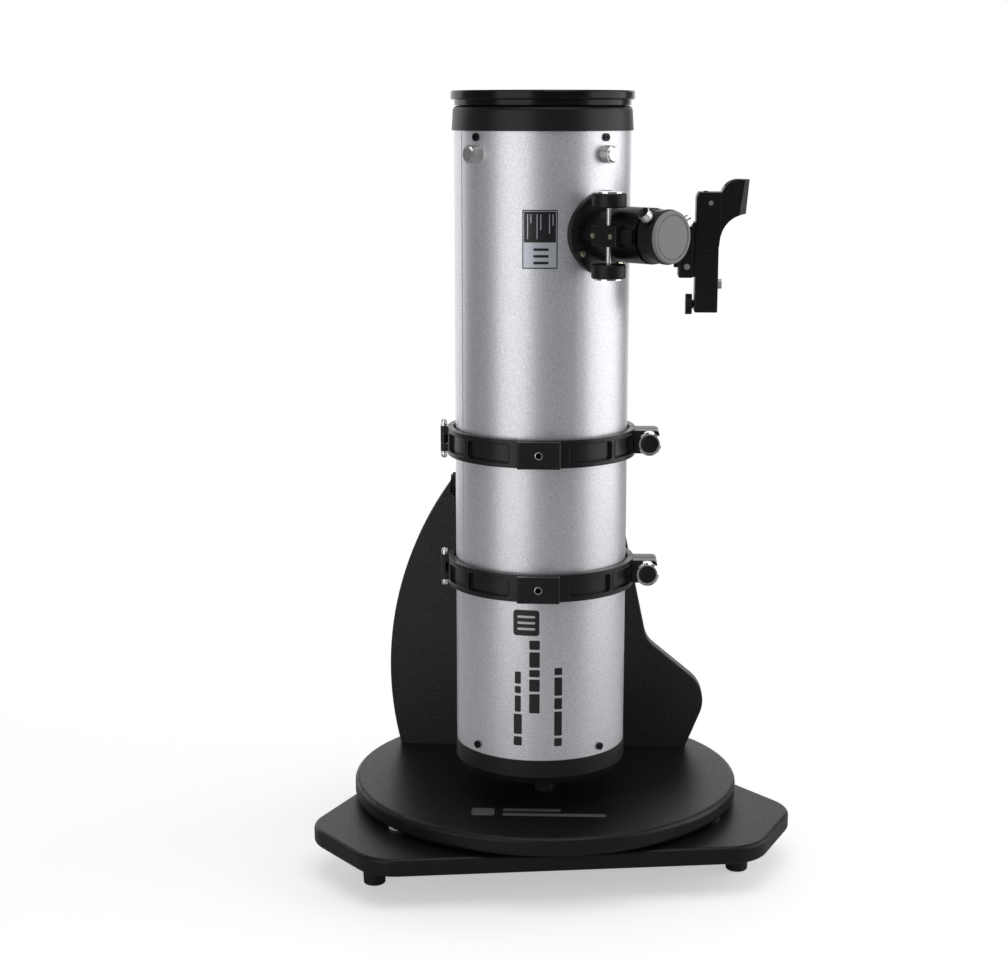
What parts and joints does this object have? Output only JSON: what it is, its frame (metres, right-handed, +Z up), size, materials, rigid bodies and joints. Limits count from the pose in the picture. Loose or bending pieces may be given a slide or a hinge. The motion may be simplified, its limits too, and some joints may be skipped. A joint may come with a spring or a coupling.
{
  "type": "dobsonian telescope",
  "caption": "Tabletop Newtonian telescope on a single-arm altazimuth mount, with hinged clamp rings, rack-and-pinion focuser and red-dot sight.",
  "frame": {"origin": "on the surface it stands on, under the middle of the ground board's outline", "axes": "+Z up along the tube at rest, +X to the right seen from the front, +Y towards the side arm"},
  "size_m": [0.4694, 0.4459, 0.752],
  "materials": {
    "board_black": "satin",
    "arm_black": "pebbled laminate",
    "rubber_black": "matte",
    "slide_white": "smooth",
    "slide_grey": "matte",
    "zinc_steel": "plated",
    "knob_black": "moulded",
    "cast_black": "semi-gloss",
    "felt_black": "felt",
    "chrome": "polished",
    "tube_silver": "metallic flake",
    "ring_black": "satin",
    "screw_black": "black oxide",
    "cap_black": "gloss",
    "spider_black": "flat",
    "nickel": "knurled",
    "mirror_coat": "aluminised",
    "focuser_black": "satin",
    "brass_screw": "plated",
    "draw_chrome": "polished",
    "cap_grey": "moulded",
    "finder_black": "moulded",
    "sight_glass": "coated"
  },
  "bodies": {
    "base": {"ground_board": "board_black", "feet": "rubber_black", "slide_pads": "slide_white", "azimuth_bolt": "zinc_steel", "azimuth_nut": "zinc_steel"},
    "turntable": {"turntable_board": "board_black", "side_arm": "arm_black", "arm_screws": "zinc_steel", "friction_disc": "slide_grey", "altitude_bolt": "zinc_steel"},
    "tension_knob": {"tension_knob": "knob_black"},
    "saddle": {"saddle": "cast_black"},
    "saddle_knob": {"saddle_knob": "knob_black"},
    "lower_gate": {"lower_ring_front": "cast_black", "lower_felt_front": "felt_black"},
    "upper_gate": {"upper_ring_front": "cast_black", "upper_felt_front": "felt_black"},
    "lower_clamp": {"lower_clamp_knob": "chrome"},
    "upper_clamp": {"upper_clamp_knob": "chrome"},
    "dust_cap": {"dust_cap": "cap_black"},
    "collimation_1": {"collimation_knob_1": "knob_black"},
    "collimation_2": {"collimation_knob_2": "knob_black"},
    "collimation_3": {"collimation_knob_3": "knob_black"},
    "focus_shaft": {"pinion_shaft": "zinc_steel", "focus_knobs": "knob_black", "focus_knob_discs": "chrome"},
    "drawtube": {"drawtube": "draw_chrome", "eyepiece_holder": "focuser_black"},
    "thumbscrew_1": {"thumbscrew_1": "chrome"},
    "thumbscrew_2": {"thumbscrew_2": "chrome"},
    "focuser_cap": {"focuser_cap": "cap_grey"},
    "finder_height": {"finder_height_knob": "knob_black"},
    "finder_side": {"finder_side_knob": "nickel"},
    "tube": {"dovetail_bar": "cast_black", "dovetail_screws": "zinc_steel", "finder_body": "finder_black", "finder_bracket": "finder_black", "finder_hood": "finder_black", "finder_screws": "zinc_steel", "focuser_housing": "focuser_black", "focuser_screws": "brass_screw", "front_ring": "ring_black", "hinge_pins": "chrome", "lower_ring_rear": "cast_black", "mirror_clips": "spider_black", "mirror_lock_screws": "nickel", "mirror_support": "spider_black", "pinion_cover": "focuser_black", "primary_mirror": "mirror_coat", "rear_cell": "ring_black", "rear_felts": "felt_black", "secondary_holder": "spider_black", "secondary_mirror": "mirror_coat", "secondary_screws": "zinc_steel", "sight_window": "sight_glass", "spider": "spider_black", "spider_nuts": "nickel", "tube_screws": "screw_black", "tube_shell": "tube_silver", "upper_ring_rear": "cast_black"}
  },
  "joints": [
    {"name": "azimuth", "type": "hinge", "parent": "base", "child": "turntable", "pos_m": [-0.0105, -0.027, 0.05], "axis": [0, 0, 1], "continuous": true},
    {"name": "altitude", "type": "hinge", "parent": "turntable", "child": "saddle", "pos_m": [-0.0145, 0.05, 0.3605], "axis": [0, -1, 0], "range_deg": [0, 90]},
    {"name": "tension_turn", "type": "hinge", "parent": "turntable", "child": "tension_knob", "pos_m": [-0.0145, 0.08, 0.3605], "axis": [0, 1, 0], "range_deg": [0, 360]},
    {"name": "saddle_knob_turn", "type": "hinge", "parent": "saddle", "child": "saddle_knob", "pos_m": [-0.0945, 0.03, 0.3605], "axis": [1, 0, 0], "range_deg": [0, 720]},
    {"name": "dovetail_slide", "type": "slide", "parent": "saddle", "child": "tube", "axis": [0, 0, 1], "range_m": [0, 0.03]},
    {"name": "lower_gate", "type": "hinge", "parent": "tube", "child": "lower_gate", "pos_m": [-0.1083, -0.075, 0.2984], "axis": [0, 0, -1], "range_deg": [0, 95]},
    {"name": "upper_gate", "type": "hinge", "parent": "tube", "child": "upper_gate", "pos_m": [-0.1083, -0.075, 0.4254], "axis": [0, 0, -1], "range_deg": [0, 95]},
    {"name": "lower_clamp_turn", "type": "hinge", "parent": "lower_gate", "child": "lower_clamp", "pos_m": [0.0888, -0.095, 0.2984], "axis": [0, 1, 0], "range_deg": [0, 1080]},
    {"name": "upper_clamp_turn", "type": "hinge", "parent": "upper_gate", "child": "upper_clamp", "pos_m": [0.0888, -0.095, 0.4254], "axis": [0, 1, 0], "range_deg": [0, 1080]},
    {"name": "dust_cap_lift", "type": "slide", "parent": "tube", "child": "dust_cap", "axis": [0, 0, 1], "range_m": [0, 0.04]},
    {"name": "draw_slide", "type": "slide", "parent": "tube", "child": "drawtube", "axis": [0.7071, -0.7071, 0], "range_m": [0, 0.032]},
    {"name": "focus_turn", "type": "hinge", "parent": "tube", "child": "focus_shaft", "pos_m": [0.04737, -0.17364, 0.6251], "axis": [0, 0, 1], "range_deg": [-520, 520]},
    {"name": "thumbscrew_1_turn", "type": "hinge", "parent": "drawtube", "child": "thumbscrew_1", "pos_m": [0.08156, -0.19814, 0.64117], "axis": [-0.5417, -0.5417, 0.6428], "range_deg": [0, 720]},
    {"name": "thumbscrew_2_turn", "type": "hinge", "parent": "drawtube", "child": "thumbscrew_2", "pos_m": [0.11149, -0.16821, 0.63446], "axis": [0.6556, 0.6556, 0.3746], "range_deg": [0, 720]},
    {"name": "focuser_cap_pull", "type": "slide", "parent": "drawtube", "child": "focuser_cap", "axis": [0.7071, -0.7071, 0], "range_m": [0, 0.02]},
    {"name": "finder_height_turn", "type": "hinge", "parent": "tube", "child": "finder_height", "pos_m": [0.1241, -0.075, 0.5555], "axis": [1, 0, 0], "range_deg": [0, 720]},
    {"name": "finder_side_turn", "type": "hinge", "parent": "tube", "child": "finder_side", "pos_m": [0.1528, -0.075, 0.5745], "axis": [1, 0, 0], "range_deg": [0, 720]},
    {"name": "collimation_1_turn", "type": "hinge", "parent": "tube", "child": "collimation_1", "pos_m": [-0.00865, -0.13069, 0.0975], "axis": [0, 0, 1], "range_deg": [0, 720]},
    {"name": "collimation_2_turn", "type": "hinge", "parent": "tube", "child": "collimation_2", "pos_m": [0.0308, -0.04208, 0.0975], "axis": [0, 0, 1], "range_deg": [0, 720]},
    {"name": "collimation_3_turn", "type": "hinge", "parent": "tube", "child": "collimation_3", "pos_m": [-0.06566, -0.05222, 0.0975], "axis": [0, 0, 1], "range_deg": [0, 720]}
  ],
  "couplings": [
    {"joint": "focus_turn", "follows": "draw_slide", "rad_per_m": -277.78}
  ]
}
